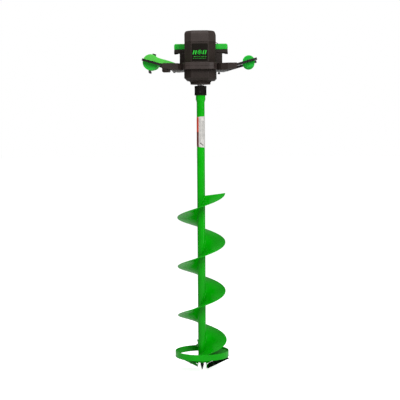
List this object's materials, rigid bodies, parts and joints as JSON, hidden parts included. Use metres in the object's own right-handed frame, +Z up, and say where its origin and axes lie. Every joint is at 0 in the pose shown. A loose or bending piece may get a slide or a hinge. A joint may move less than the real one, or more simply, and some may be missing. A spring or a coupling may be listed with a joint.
{
  "type": "ice fishing auger",
  "caption": "Battery-powered ice auger: a screw drill with a cutting ring and blades, turned by a geared motor head with two side grips.",
  "frame": {"origin": "the tip of the drill's centre point, on the drill's axis", "axes": "+Z up along the drill's axis, -Y towards the front of the powerhead, +X towards the right grip as seen from the front"},
  "size_m": [0.4054, 0.2006, 1.224],
  "materials": {
    "green_paint": "gloss",
    "green_plastic": "satin",
    "black_plastic": "satin",
    "cap_plastic": "satin",
    "black_steel": "satin",
    "zinc": "zinc plated",
    "steel": "ground",
    "copper": "wound copper and laminated steel",
    "rubber": "moulded",
    "label": "printed vinyl"
  },
  "bodies": {
    "powerhead": {"badge_panel": "black_plastic", "brace_bolt_left": "black_steel", "brace_bolt_right": "black_steel", "brace_left": "zinc", "brace_right": "zinc", "front_bar_left": "black_steel", "front_bar_right": "black_steel", "gearbox_housing": "black_plastic", "gearbox_nose": "black_plastic", "grip_axle_left": "black_steel", "grip_axle_right": "black_steel", "grip_left": "green_plastic", "grip_right": "green_plastic", "motor_can": "black_steel", "motor_cover": "black_plastic", "motor_plate": "steel", "output_bearing": "steel", "rear_bar_left": "black_steel", "rear_bar_right": "black_steel", "rear_housing": "black_plastic", "shoulder_left": "black_plastic", "shoulder_right": "black_plastic", "switch_box": "black_plastic", "throttle_base": "green_plastic", "throttle_cover": "green_plastic", "top_cap": "cap_plastic", "trigger_pin": "steel", "waist_frame": "cap_plastic"},
    "auger": {"auger_tube": "green_paint", "coupling_collar": "rubber", "drive_pin": "black_steel", "flight_section_1": "green_paint", "flight_section_2": "green_paint", "flight_section_3": "green_paint", "flight_section_4": "green_paint", "lower_flight": "green_paint", "cutter_ring": "green_paint", "blade_right": "black_steel", "blade_left": "black_steel", "blade_mount_right": "green_paint", "blade_mount_left": "green_paint", "blade_screw_right_1": "black_steel", "blade_screw_right_2": "black_steel", "blade_screw_left_1": "black_steel", "blade_screw_left_2": "black_steel", "center_point": "black_steel", "tube_label": "label", "output_shaft": "steel", "output_gear": "steel"},
    "countershaft": {"counter_shaft": "steel", "counter_gear": "steel"},
    "rotor": {"motor_shaft": "steel", "motor_rotor": "copper"},
    "trigger": {"throttle_trigger": "black_plastic"},
    "button": {"safety_button": "rubber"},
    "rocker": {"direction_rocker": "black_plastic"},
    "battery": {"battery_lower_case": "black_plastic", "battery_upper_case": "green_plastic"},
    "latch_left": {"battery_latch_left": "rubber"},
    "latch_right": {"battery_latch_right": "rubber"}
  },
  "joints": [
    {"name": "auger_spin", "type": "hinge", "parent": "powerhead", "child": "auger", "pos_m": [0, 0, 0], "axis": [0, 0, 1], "continuous": true},
    {"name": "countershaft_spin", "type": "hinge", "parent": "powerhead", "child": "countershaft", "pos_m": [0, 0.0375, 1.07], "axis": [0, 0, 1], "continuous": true},
    {"name": "motor_spin", "type": "hinge", "parent": "powerhead", "child": "rotor", "pos_m": [0, 0, 1.1], "axis": [0, 0, 1], "continuous": true},
    {"name": "trigger_pull", "type": "hinge", "parent": "powerhead", "child": "trigger", "pos_m": [-0.17833, -0.044, 1.09304], "axis": [0.962, 0, -0.2732], "range_deg": [0, 10], "stiffness_Nm_per_rad": 2, "springref_deg": -6.88},
    {"name": "safety_button_press", "type": "slide", "parent": "powerhead", "child": "button", "axis": [-0.2732, 0, -0.962], "range_m": [0, 0.0025], "stiffness_N_per_m": 800, "springref_m": -0.003},
    {"name": "direction_rocker", "type": "hinge", "parent": "powerhead", "child": "rocker", "pos_m": [-0.119, -0.091, 1.0804], "axis": [0, 0, 1], "range_deg": [0, 14]},
    {"name": "battery_lift", "type": "slide", "parent": "powerhead", "child": "battery", "axis": [0, 0, 1], "range_m": [0, 0.045]},
    {"name": "latch_left_squeeze", "type": "slide", "parent": "battery", "child": "latch_left", "axis": [1, 0, 0], "range_m": [0, 0.0025], "stiffness_N_per_m": 500, "springref_m": -0.003},
    {"name": "latch_right_squeeze", "type": "slide", "parent": "battery", "child": "latch_right", "axis": [-1, 0, 0], "range_m": [0, 0.0025], "stiffness_N_per_m": 500, "springref_m": -0.003}
  ],
  "couplings": [
    {"joint": "countershaft_spin", "follows": "auger_spin", "ratio": -3.1667},
    {"joint": "motor_spin", "follows": "auger_spin", "ratio": 12.667}
  ]
}
